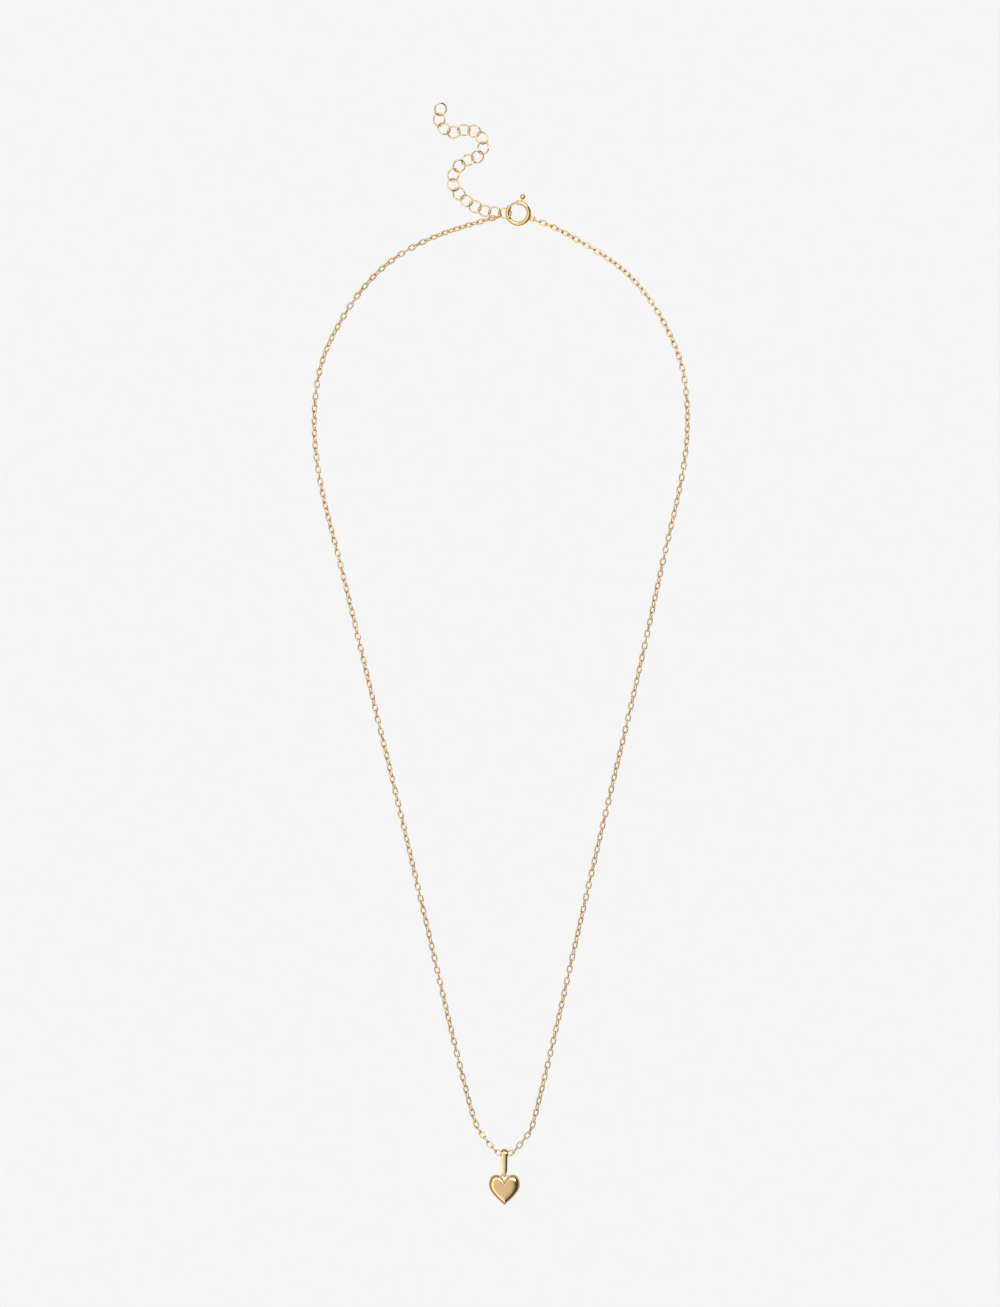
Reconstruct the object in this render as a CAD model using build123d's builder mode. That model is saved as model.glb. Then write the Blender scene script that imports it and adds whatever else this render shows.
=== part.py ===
"""Pendant necklace: a fine cable chain with a puffed heart, a spring ring clasp and an extender.

The necklace lies flat and closed on a surface, at Z = 0. X runs across the loop, and Y runs from the
heart up to the clasp and the extender. The origin is the middle of the outline, on the surface.
Millimetres and degrees.
"""
import os
from math import ceil, sqrt

from build123d import *

# ---- Loop of chain ----
LOOP_WIDTH = 74.5  # between the two sides' centre lines, at the widest
LOOP_LENGTH = 188.0  # from the chain inside the bail to the clasp's centre
LINK_LENGTH = 1.84
LINK_WIDTH = 1.16
LINK_WIRE = 0.28  # diameter
CHAIN_LIFT = 0.66  # height of the chain's centre line above the surface
TWIST = 34.0  # most that the links of a stretch roll away from flat and upright
STRETCHES = 12  # stretches of chain up each side, with a fold between each two
STRETCH_LINKS = 14  # in each stretch but the last
CENTER_LINKS = 4  # links on each side of the middle one that stay with it, at the bail
END_LEAD = 2.4  # the chain comes in straight over this length at the clasp's end
CHAIN_END_ANGLE = 213.0  # where on the jump ring the left side's last link hooks, from +X
CHAIN_END_WAY = 197.0  # the way the left side leads off from there

# The chain's route up each side: a share of the loop's width, a share of its length, and a height.
# The points of both sides start after the bail and stop before the clasp.
LEFT_ROUTE = [
    (-0.0105, 0.0022, 1.13),
    (-0.029, 0.010, 0.98),
    (-0.062, 0.028, 0.72),
    (-0.077, 0.044, CHAIN_LIFT),
    (-0.093, 0.0675, CHAIN_LIFT),
    (-0.189, 0.227, CHAIN_LIFT),
    (-0.284, 0.387, CHAIN_LIFT),
    (-0.381, 0.546, CHAIN_LIFT),
    (-0.440, 0.642, CHAIN_LIFT),
    (-0.480, 0.706, CHAIN_LIFT),
    (-0.499, 0.759, CHAIN_LIFT),
    (-0.498, 0.802, CHAIN_LIFT),
    (-0.478, 0.844, CHAIN_LIFT),
    (-0.437, 0.880, CHAIN_LIFT),
    (-0.372, 0.919, CHAIN_LIFT),
    (-0.292, 0.950, CHAIN_LIFT),
    (-0.195, 0.972, CHAIN_LIFT),
    (-0.098, 0.986, 0.72),
]
RIGHT_ROUTE = [
    (0.0310, 0.0020, 1.13),
    (0.057, 0.013, 0.92),
    (0.0785, 0.024, 0.72),
    (0.089, 0.036, CHAIN_LIFT),
    (0.109, 0.0675, CHAIN_LIFT),
    (0.202, 0.227, CHAIN_LIFT),
    (0.296, 0.387, CHAIN_LIFT),
    (0.389, 0.546, CHAIN_LIFT),
    (0.442, 0.642, CHAIN_LIFT),
    (0.479, 0.706, CHAIN_LIFT),
    (0.499, 0.759, CHAIN_LIFT),
    (0.499, 0.802, CHAIN_LIFT),
    (0.484, 0.840, CHAIN_LIFT),
    (0.454, 0.871, CHAIN_LIFT),
    (0.400, 0.908, CHAIN_LIFT),
    (0.320, 0.9425, CHAIN_LIFT),
    (0.213, 0.970, CHAIN_LIFT),
]

# ---- Heart, its eye and the bail ----
BAIL_X = 0.75  # the heart hangs this far off the middle of the loop
PENDANT_LIFT = 1.2  # height of the bail's and the eye's middle plane
HEART_WIDTH = 6.2
HEART_HEIGHT = 6.1
HEART_FRONT = 1.5  # how far the front and the back swell from the middle plane
HEART_BACK = 1.2
CLEFT_DEPTH = 1.55
FLANK_DEPTH = 2.0  # the heart is widest this far below the tops of the lobes
MIDDLE_DEPTH = 2.7  # the sections shrink towards a point this far below the tops of the lobes
LOBE_FULLNESS = 0.22  # how round the lobes are, and the flanks below them
FLANK_FULLNESS = 0.26
TIP_FULLNESS = 0.28
EYE_OUTER = 1.8
EYE_WIRE = 0.34
EYE_SINK = 0.58  # how far the eye's centre lies below the tops of the lobes
BAIL_LENGTH = 5.6
BAIL_TOP_WIDTH = 1.26
BAIL_LEG_WIDTH = 1.08  # just above the eye
BAIL_FOOT_WIDTH = 0.56  # in the eye's hole
BAIL_SHOULDER = 0.34  # from the foot's centre up to where the legs start to narrow
BAIL_TOP_WALL = 0.38
BAIL_FOOT_WALL = 0.30

# Each section of the swell: its share of the front's or the back's depth, and of the outline.
HEART_SECTIONS = [(-1.0, 0.62), (-0.66, 0.88), (0.0, 1.0), (0.5, 0.95), (0.84, 0.80), (1.0, 0.56)]

# ---- Jump ring and extender ----
RING_OUTER = 2.76
RING_WIRE = 0.30
RING_ROLL = 27.0  # each ring leans this far to one side, and the next one to the other
RING_LIFT = 0.86
JUMP_TILT = -32.0
EXTENDER_ANGLE = 171.0  # where on the jump ring the extender's first ring hooks, from +X
EXTENDER_ROUTE = [
    (-4.8, 0.9),
    (-8.3, 3.2),
    (-10.4, 6.6),
    (-8.4, 9.9),
    (-4.7, 12.3),
    (-4.9, 15.4),
    (-8.2, 16.5),
    (-11.5, 16.5),
    (-13.1, 19.0),
    (-12.2, 21.5),
]

# ---- Spring ring clasp ----
CLASP_X = 3.5
CLASP_LIFT = 0.95
CLASP_TILT = 14.0
CLASP_OUTER = 5.1
TUBE_DIAMETER = 0.85
BOLT_DIAMETER = 0.42
MOUTH_START = 100.0  # the mouth in the tube, as angles from +X
MOUTH_END = 140.0
SOCKET_ARC = 12.0  # how far the bolt's tip goes into the tube past the mouth
BORE_SPARE = 2.0  # how far the bore runs on past the bolt's tip
BOLT_TAIL = 70.0
SPRING_SEAT = -62.0  # the spring bears on the end of the bore here
SPRING_GAP = 1.0  # between the spring and what it bears on, at each end
SPRING_WALL = 0.09
TRIGGER_ANGLE = 75.0
TRIGGER_TRAVEL = 52.0
SLOT_SPARE = 4.0  # how far the slot runs past the trigger's stem at each end of its travel
TRIGGER_REACH = 3.42  # from the clasp's centre to the middle of the trigger's ball
TRIGGER_BALL = 1.06
TRIGGER_STEM = 0.26
TAB_ANGLE = -22.0
TAB_HOLE = 0.68
TAB_RIM = 0.28
TAB_THICKNESS = 0.36
TAB_SEAT_ARC = 120.0  # of the tube, that the tab is shaped to
CONNECTOR_LENGTH = 2.0
CONNECTOR_WIDTH = 1.24

# ---- Play ----
HOOK_PLAY = 0.05  # between two wires that hook into each other
TUBE_PLAY = 0.12  # between the jump ring and the clasp's tube
RING_PLAY = 0.08  # between two of the extender's rings
BORE_PLAY = 0.05  # around the bolt in the clasp's tube
BAIL_PLAY = 0.10  # around the chain's upright link in the bail
EYE_PLAY = 0.13  # around the eye's wire in the bail's foot

# ---- Worked out from the sizes above ----
link_pitch = LINK_LENGTH - 2 * LINK_WIRE - HOOK_PLAY
ring_pitch = RING_OUTER - 2 * RING_WIRE - RING_PLAY
eye_bend = (EYE_OUTER - EYE_WIRE) / 2
ring_bend = (RING_OUTER - RING_WIRE) / 2
clasp_bend = (CLASP_OUTER - TUBE_DIAMETER) / 2
bore_diameter = BOLT_DIAMETER + 2 * BORE_PLAY

bail_top_inner = LINK_WIDTH / 2 + BAIL_PLAY
bail_top_outer = bail_top_inner + BAIL_TOP_WALL
bail_foot_inner = EYE_WIRE / 2 + EYE_PLAY
bail_foot_outer = bail_foot_inner + BAIL_FOOT_WALL
bail_span = BAIL_LENGTH - bail_top_outer - bail_foot_outer

pendant_drop = bail_span + eye_bend - EYE_SINK + HEART_HEIGHT
extender_rise = EXTENDER_ROUTE[-1][1] + RING_OUTER / 2
bail_y = (pendant_drop - LOOP_LENGTH - extender_rise) / 2
clasp_y = bail_y + LOOP_LENGTH


def tilted(origin, turn_x):
    """A plane at origin, level with the surface and then turned about X."""
    return Plane(Location(origin) * Rot(turn_x, 0, 0))


def direction_in(frame, angle):
    """The direction at an angle from a plane's X axis."""
    return frame.x_dir.rotate(Axis((0, 0, 0), frame.z_dir), angle)


def radial_plane(frame, angle):
    """The plane through the frame's Z axis at an angle, for the section of a bent bar."""
    return Plane(frame.location * Rot(0, 0, angle) * Rot(90, 0, 0))


def bent_bar(frame, bend, diameter, start, sweep):
    """A round bar bent to part of a circle about the frame's Z axis."""
    with BuildPart() as bar:
        with BuildSketch(radial_plane(frame, start)):
            with Locations((bend, 0)):
                Circle(diameter / 2)
        revolve(axis=Axis(frame.origin, frame.z_dir), revolution_arc=sweep)
    return bar.part


def wire_oval(length, width, wire):
    """A closed oval of round wire, flat in XY with its length along X."""
    bend = (width - wire) / 2
    half_side = (length - width) / 2
    with BuildPart() as oval:
        with BuildSketch(Plane.YZ.offset(half_side)):
            with Locations((-bend, 0)):
                Circle(wire / 2)
        revolve(axis=Axis((half_side, 0, 0), (0, 0, 1)), revolution_arc=180)
        with BuildSketch(Plane.YZ):
            with Locations((-bend, 0), (bend, 0)):
                Circle(wire / 2)
        extrude(amount=half_side)
        mirror(about=Plane.YZ)
    return oval.part


def link_plane(start, end, roll):
    """Where a link lies that reaches from one pivot to the next, rolled about its own length."""
    along = (end - start).normalized()
    side = Vector(0, 0, 1).cross(along).normalized()
    level = Plane(origin=(start + end) / 2, x_dir=along, z_dir=along.cross(side))
    return Plane(level.location * Rot(roll, 0, 0))


def pivots_along(route, pitch, every=1, remainder=0):
    """Pivots at equal spacing along a route, no further apart than the pitch. The number of spaces
    leaves the remainder when it is divided by every."""
    count = every * ceil((route.length / pitch - remainder) / every) + remainder
    step = route.length / count
    return [route.position_at(i * step, PositionMode.LENGTH) for i in range(count + 1)]


# ---- Places of the jump ring, the clasp and its tab ----
clasp_plane = tilted((CLASP_X, clasp_y, CLASP_LIFT), CLASP_TILT)
tube_inside = ring_bend - RING_WIRE / 2 - TUBE_DIAMETER / 2 - TUBE_PLAY
jump_center = Vector(CLASP_X - clasp_bend - tube_inside, clasp_y, CLASP_LIFT)
jump_plane = tilted(jump_center, JUMP_TILT)
chain_end_wire = jump_center + direction_in(jump_plane, CHAIN_END_ANGLE) * ring_bend
chain_end_out = direction_in(Plane.XY, CHAIN_END_WAY)

tab_out = direction_in(clasp_plane, TAB_ANGLE)
tab_hole_reach = CLASP_OUTER / 2 + TAB_HOLE / 2 + TAB_RIM / 2
tab_hole_center = clasp_plane.origin + tab_out * tab_hole_reach
connector_out = Vector(tab_out.X, tab_out.Y, 0).normalized()
connector_near = tab_hole_center + connector_out * (TAB_HOLE / 2 - LINK_WIRE / 2 - HOOK_PLAY)
connector_far = connector_near + connector_out * (CONNECTOR_LENGTH - LINK_WIRE)
connector_plane = link_plane(connector_near, connector_far, 90)

# ---- The chain's route and its links ----
# A link's end bar reaches this far past the pivot that it shares with the next link.
bar_reach = (LINK_WIRE + HOOK_PLAY) / 2
# The ring's wire runs through the left side's last link at a slant, and has twice the play.
left_last = chain_end_wire - chain_end_out * (RING_WIRE / 2 + LINK_WIRE / 2 + 2 * HOOK_PLAY - bar_reach)
right_last = connector_far - connector_out * (LINK_WIRE + HOOK_PLAY - bar_reach)


def side_route(points, first_x, last, last_out):
    """The centre line of one side of the loop, from the middle link to the clasp's end."""
    first = Vector(BAIL_X + first_x, bail_y, PENDANT_LIFT)
    way = [Vector(x * LOOP_WIDTH, bail_y + y * LOOP_LENGTH, z) for x, y, z in points]
    lead = last + last_out * END_LEAD
    with BuildLine():
        route = Spline(first, *way, lead, last)
    return route


left_route = side_route(LEFT_ROUTE, -link_pitch / 2, left_last, chain_end_out)
right_route = side_route(RIGHT_ROUTE, link_pitch / 2, right_last, connector_out)
# The left side's last link is upright, for the jump ring, and the right side's is flat.
left_pivots = pivots_along(left_route, link_pitch, every=2)
right_pivots = pivots_along(right_route, link_pitch, every=2, remainder=1)


def stretch_ends(pivots):
    """The pivot numbers where a side's stretches start and end."""
    return [CENTER_LINKS + k * STRETCH_LINKS for k in range(STRETCHES)] + [len(pivots) - 1]


def link_planes(pivots, first, last, twist):
    """The planes of a run of links. Every second link is upright, and the run twists towards its
    middle and back again."""
    planes = []
    for i in range(first, last):
        along = (i - first + 0.5) / (last - first)
        upright = 0 if i % 2 == 0 else 90
        share = (along * (1 - along)) / (0.5 * 0.5)
        planes.append(link_plane(pivots[i], pivots[i + 1], upright + twist * share))
    return planes


os.makedirs("parts", exist_ok=True)
link = wire_oval(LINK_LENGTH, LINK_WIDTH, LINK_WIRE)

# ---- Chain: the links at the bail, then the stretches up each side ----
with BuildPart() as chain_center:
    with Locations(link_plane(left_pivots[0], right_pivots[0], 90)):
        add(link)
    with Locations(*link_planes(left_pivots, 0, CENTER_LINKS, 0)):
        add(link)
    with Locations(*link_planes(right_pivots, 0, CENTER_LINKS, 0)):
        add(link)
chain_center.part.label = "chain_center"
export_step(chain_center.part, "parts/chain_center.step")

for side, pivots in (("left", left_pivots), ("right", right_pivots)):
    ends = stretch_ends(pivots)
    for number, (first, last) in enumerate(zip(ends, ends[1:]), start=1):
        twist = TWIST if number % 2 else -TWIST
        with BuildPart() as stretch:
            with Locations(*link_planes(pivots, first, last, twist)):
                add(link)
        stretch.part.label = f"{side}_chain_{number:02d}"
        export_step(stretch.part, f"parts/{stretch.part.label}.step")

# ---- Bail: a tapered loop on edge, seen as a bar from above ----
bail_plane = Plane(origin=(BAIL_X, bail_y, PENDANT_LIFT))
bail_side = Plane(origin=bail_plane.origin, x_dir=(0, 1, 0), z_dir=(1, 0, 0))
with BuildPart() as bail:
    with BuildSketch(bail_side):
        Circle(bail_top_outer)
        with Locations((-bail_span, 0)):
            Circle(bail_foot_outer)
        make_hull()
    extrude(amount=BAIL_TOP_WIDTH / 2, both=True)
    with BuildSketch(bail_side):
        Circle(bail_top_inner)
        with Locations((-bail_span, 0)):
            Circle(bail_foot_inner)
        make_hull()
    extrude(amount=BAIL_TOP_WIDTH / 2, both=True, mode=Mode.SUBTRACT)
    with BuildSketch(bail_plane):
        with BuildLine():
            Polyline(
                (-BAIL_TOP_WIDTH / 2, bail_top_outer),
                (BAIL_TOP_WIDTH / 2, bail_top_outer),
                (BAIL_TOP_WIDTH / 2, -bail_top_inner),
                (BAIL_LEG_WIDTH / 2, -bail_span + BAIL_SHOULDER),
                (BAIL_FOOT_WIDTH / 2, -bail_span),
                (BAIL_FOOT_WIDTH / 2, -bail_span - bail_foot_outer),
                (-BAIL_FOOT_WIDTH / 2, -bail_span - bail_foot_outer),
                (-BAIL_FOOT_WIDTH / 2, -bail_span),
                (-BAIL_LEG_WIDTH / 2, -bail_span + BAIL_SHOULDER),
                (-BAIL_TOP_WIDTH / 2, -bail_top_inner),
                close=True,
            )
        make_face()
    extrude(amount=bail_top_outer, both=True, mode=Mode.INTERSECT)
bail.part.label = "bail"
export_step(bail.part, "parts/bail.step")

# ---- Heart: swollen front and back, with the eye let into its cleft ----
lobe_top_y = bail_y - bail_span - eye_bend + EYE_SINK
eye_plane = Plane(origin=(BAIL_X, bail_y - bail_span - eye_bend, PENDANT_LIFT))

with BuildPart() as heart:
    for depth, share in HEART_SECTIONS:
        lift = PENDANT_LIFT + depth * (HEART_FRONT if depth > 0 else HEART_BACK)
        half = share * HEART_WIDTH / 2
        top = share * MIDDLE_DEPTH
        tip = top - share * HEART_HEIGHT
        cleft = top - share * CLEFT_DEPTH
        flank = top - share * FLANK_DEPTH
        lobe = top * (1 + LOBE_FULLNESS)
        with BuildSketch(Plane(origin=(BAIL_X, lobe_top_y - MIDDLE_DEPTH, lift))):
            with BuildLine():
                Bezier((0, cleft), (LOBE_FULLNESS * half, lobe), (half, lobe), (half, flank))
                Bezier(
                    (half, flank),
                    (half, flank - share * FLANK_FULLNESS * HEART_HEIGHT),
                    (TIP_FULLNESS * half, tip * (1 - TIP_FULLNESS)),
                    (0, tip),
                )
                mirror(about=Plane.YZ)
            make_face()
    loft()
    with Locations(eye_plane):
        Torus(eye_bend, EYE_WIRE / 2, mode=Mode.SUBTRACT)
heart.part.label = "heart"
export_step(heart.part, "parts/heart.step")

with BuildPart(eye_plane) as heart_eye:
    Torus(eye_bend, EYE_WIRE / 2)
heart_eye.part.label = "heart_eye"
export_step(heart_eye.part, "parts/heart_eye.step")

# ---- Jump ring and the extender's rings ----
with BuildPart(jump_plane) as jump_ring:
    Torus(ring_bend, RING_WIRE / 2)
jump_ring.part.label = "jump_ring"
export_step(jump_ring.part, "parts/jump_ring.step")

# From a ring's centre to the pivot that it shares with the next ring.
ring_reach = ring_bend - (RING_WIRE + RING_PLAY) / 2
first_pivot = jump_center + direction_in(jump_plane, EXTENDER_ANGLE) * ring_reach
with BuildLine():
    way = [Vector(jump_center.X + x, jump_center.Y + y, RING_LIFT) for x, y in EXTENDER_ROUTE]
    extender = Spline(first_pivot, *way)
ring_pivots = pivots_along(extender, ring_pitch)
ring_count = len(ring_pivots) - 1


def ring_plane(number):
    """The plane of one of the extender's rings. It goes through the ring's two pivots, leans to the
    side that its number gives, and in a bend the ring moves out to where both pivots fit it."""
    start = ring_pivots[number - 1]
    end = ring_pivots[number]
    before = ring_pivots[max(number - 2, 0)]
    after = ring_pivots[min(number + 1, ring_count)]
    turn = (start - before).cross(after - end).Z
    lean = -RING_ROLL if number % 2 else RING_ROLL
    level = link_plane(start, end, lean)
    shift = sqrt(ring_reach**2 - ((end - start).length / 2) ** 2)
    outward = -1 if turn > 0 else 1
    return Plane(
        origin=level.origin + level.y_dir * outward * shift,
        x_dir=level.x_dir,
        z_dir=level.z_dir,
    )


for number in range(1, ring_count + 1):
    with BuildPart(ring_plane(number)) as ring:
        Torus(ring_bend, RING_WIRE / 2)
    ring.part.label = f"extender_ring_{number:02d}"
    export_step(ring.part, f"parts/{ring.part.label}.step")

# ---- Spring ring clasp ----
tube_arc = 360 - (MOUTH_END - MOUTH_START)
bore_arc = MOUTH_START - SPRING_SEAT
bolt_arc = MOUTH_END + SOCKET_ARC - BOLT_TAIL
socket_arc = SOCKET_ARC + BORE_SPARE
slot_start = TRIGGER_ANGLE - TRIGGER_TRAVEL - SLOT_SPARE
slot_arc = TRIGGER_TRAVEL + 2 * SLOT_SPARE
clasp_axis = Axis(clasp_plane.origin, clasp_plane.z_dir)

with BuildPart() as clasp_tube:
    add(bent_bar(clasp_plane, clasp_bend, TUBE_DIAMETER, MOUTH_END, tube_arc))
    add(bent_bar(clasp_plane, clasp_bend, bore_diameter, SPRING_SEAT, bore_arc), mode=Mode.SUBTRACT)
    add(bent_bar(clasp_plane, clasp_bend, bore_diameter, MOUTH_END, socket_arc), mode=Mode.SUBTRACT)
    with BuildSketch(radial_plane(clasp_plane, slot_start)):
        with Locations((clasp_bend + TUBE_DIAMETER / 2, 0)):
            Rectangle(TUBE_DIAMETER, TRIGGER_STEM + 2 * BORE_PLAY)
    revolve(axis=clasp_axis, revolution_arc=slot_arc, mode=Mode.SUBTRACT)
clasp_tube.part.label = "clasp_tube"
export_step(clasp_tube.part, "parts/clasp_tube.step")

stem_plane = Plane(clasp_plane.location * Rot(0, 0, TRIGGER_ANGLE) * Rot(0, 90, 0))
with BuildPart() as clasp_trigger:
    add(bent_bar(clasp_plane, clasp_bend, BOLT_DIAMETER, BOLT_TAIL, bolt_arc))
    with BuildSketch(stem_plane.offset(clasp_bend)):
        Circle(TRIGGER_STEM / 2)
    extrude(amount=TRIGGER_REACH - clasp_bend)
    with Locations(stem_plane.offset(TRIGGER_REACH)):
        Sphere(TRIGGER_BALL / 2)
clasp_trigger.part.label = "clasp_trigger"
export_step(clasp_trigger.part, "parts/clasp_trigger.step")

spring_start = SPRING_SEAT + SPRING_GAP
spring_arc = BOLT_TAIL - SPRING_GAP - spring_start
spring_inner = BOLT_DIAMETER - 2 * SPRING_WALL
with BuildPart() as clasp_spring:
    add(bent_bar(clasp_plane, clasp_bend, BOLT_DIAMETER, spring_start, spring_arc))
    add(bent_bar(clasp_plane, clasp_bend, spring_inner, spring_start, spring_arc), mode=Mode.SUBTRACT)
clasp_spring.part.label = "clasp_spring"
export_step(clasp_spring.part, "parts/clasp_spring.step")

tab_plane = Plane(clasp_plane.location * Rot(0, 0, TAB_ANGLE))
tab_radius = TAB_HOLE / 2 + TAB_RIM
tab_seat = bent_bar(clasp_plane, clasp_bend, TUBE_DIAMETER, TAB_ANGLE - TAB_SEAT_ARC / 2, TAB_SEAT_ARC)
with BuildPart() as clasp_tab:
    with BuildSketch(tab_plane):
        with Locations((tab_hole_reach, 0)):
            Circle(tab_radius)
        with Locations((clasp_bend, 0)):
            Rectangle(tab_hole_reach - clasp_bend, 2 * tab_radius, align=(Align.MIN, Align.CENTER))
        with Locations((tab_hole_reach, 0)):
            Circle(TAB_HOLE / 2, mode=Mode.SUBTRACT)
    extrude(amount=TAB_THICKNESS / 2, both=True)
    add(tab_seat, mode=Mode.SUBTRACT)
clasp_tab.part.label = "clasp_tab"
export_step(clasp_tab.part, "parts/clasp_tab.step")

with BuildPart(connector_plane) as connector:
    add(wire_oval(CONNECTOR_LENGTH, CONNECTOR_WIDTH, LINK_WIRE))
connector.part.label = "connector"
export_step(connector.part, "parts/connector.step")
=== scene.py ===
"""Looks of the pendant necklace: its chain, heart, bail, clasp and extender in polished gold.

Each sub-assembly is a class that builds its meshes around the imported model, dresses them and sends
them out on their bodies. Lengths are in metres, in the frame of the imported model.
"""

import logging
import math
from dataclasses import dataclass
from enum import Enum
from typing import Iterable, Sequence

import bmesh
import bpy
import numpy as np
from mathutils import Matrix, Vector


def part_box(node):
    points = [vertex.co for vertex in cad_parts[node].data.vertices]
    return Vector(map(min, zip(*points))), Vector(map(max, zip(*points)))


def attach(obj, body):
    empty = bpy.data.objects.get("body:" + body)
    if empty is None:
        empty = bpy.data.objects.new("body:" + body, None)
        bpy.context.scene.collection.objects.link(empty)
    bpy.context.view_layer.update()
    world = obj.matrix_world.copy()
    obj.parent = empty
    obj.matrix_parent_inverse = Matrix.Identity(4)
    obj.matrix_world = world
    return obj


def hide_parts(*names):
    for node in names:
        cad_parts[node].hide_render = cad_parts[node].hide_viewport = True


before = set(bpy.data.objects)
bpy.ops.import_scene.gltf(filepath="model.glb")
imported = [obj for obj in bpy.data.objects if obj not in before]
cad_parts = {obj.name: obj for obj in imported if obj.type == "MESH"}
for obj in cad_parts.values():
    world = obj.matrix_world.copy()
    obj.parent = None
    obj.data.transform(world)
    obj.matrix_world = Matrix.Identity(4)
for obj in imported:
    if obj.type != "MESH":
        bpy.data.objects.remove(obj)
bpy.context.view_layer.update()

LOG = logging.getLogger("necklace")
MM = 0.001
X_AXIS = Vector((1, 0, 0))
Y_AXIS = Vector((0, 1, 0))
Z_AXIS = Vector((0, 0, 1))
FULL_TURN = 2 * math.pi
# Points nearer than this are one point: in a new piece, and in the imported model's loose triangles.
SAME_POINT = 1e-7
SAME_CAD_POINT = 2e-7
# The Mix node gives its colour sockets by number only.
MIX_SHARE, MIX_FIRST, MIX_SECOND, MIX_RESULT = 0, 6, 7, 2


# ---------------------------------------------------------------- finishes


class Slot(Enum):
    """The material slots of the record."""

    CHAIN = "gold_chain"
    RINGS = "gold_rings"
    CLASP = "gold_clasp"
    PENDANT = "gold_pendant"
    SPRING = "spring_steel"


class NodeGraph:
    """A short way to add and join shader nodes."""

    def __init__(self, tree: bpy.types.NodeTree) -> None:
        """Start on an empty tree.

        Args:
            tree: The node tree to fill.
        """
        self.tree = tree
        tree.nodes.clear()

    def add(self, kind: str, **settings: object) -> bpy.types.Node:
        """Add a node.

        Args:
            kind: The node's type name without its ShaderNode prefix.
            settings: Properties to set on the node.

        Returns:
            The new node.
        """
        node = self.tree.nodes.new("ShaderNode" + kind)
        for name, value in settings.items():
            setattr(node, name, value)
        return node

    def put(self, socket: bpy.types.NodeSocket, value: object) -> None:
        """Feed a socket, from another socket or with a plain value.

        Args:
            socket: The input to feed.
            value: An output socket, or a value for the input's own field.
        """
        if isinstance(value, bpy.types.NodeSocket):
            self.tree.links.new(value, socket)
        else:
            socket.default_value = value

    def noise(
        self, where: object, scale: float, detail: float, rough: float = 0.5
    ) -> object:
        """Noise over a vector.

        Args:
            where: The vector output that the noise reads.
            scale: Features per metre.
            detail: Octaves.
            rough: How strong the fine octaves are.

        Returns:
            The noise's value output.
        """
        node = self.add("TexNoise")
        self.put(node.inputs["Vector"], where)
        self.put(node.inputs["Scale"], scale)
        self.put(node.inputs["Detail"], detail)
        self.put(node.inputs["Roughness"], rough)
        return node.outputs["Fac"]

    def between(
        self, value: object, low: float, high: float, out: tuple[float, float]
    ) -> object:
        """Map a range of values onto another one.

        Args:
            value: The output to map.
            low: The value that gives the first result.
            high: The value that gives the second result.
            out: The two results.

        Returns:
            The mapped output.
        """
        node = self.add("MapRange", clamp=True)
        ends = ("From Min", "From Max", "To Min", "To Max")
        for name, number in zip(ends, (low, high, *out)):
            self.put(node.inputs[name], number)
        self.put(node.inputs["Value"], value)
        return node.outputs["Result"]

    def mix(self, share: object, first: object, second: object) -> object:
        """Mix two colours.

        Args:
            share: How much of the second colour.
            first: The colour at a share of 0.
            second: The colour at a share of 1.

        Returns:
            The mixed colour's output.
        """
        node = self.add("Mix", data_type="RGBA")
        self.put(node.inputs[MIX_SHARE], share)
        self.put(node.inputs[MIX_FIRST], first)
        self.put(node.inputs[MIX_SECOND], second)
        return node.outputs[MIX_RESULT]


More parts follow.
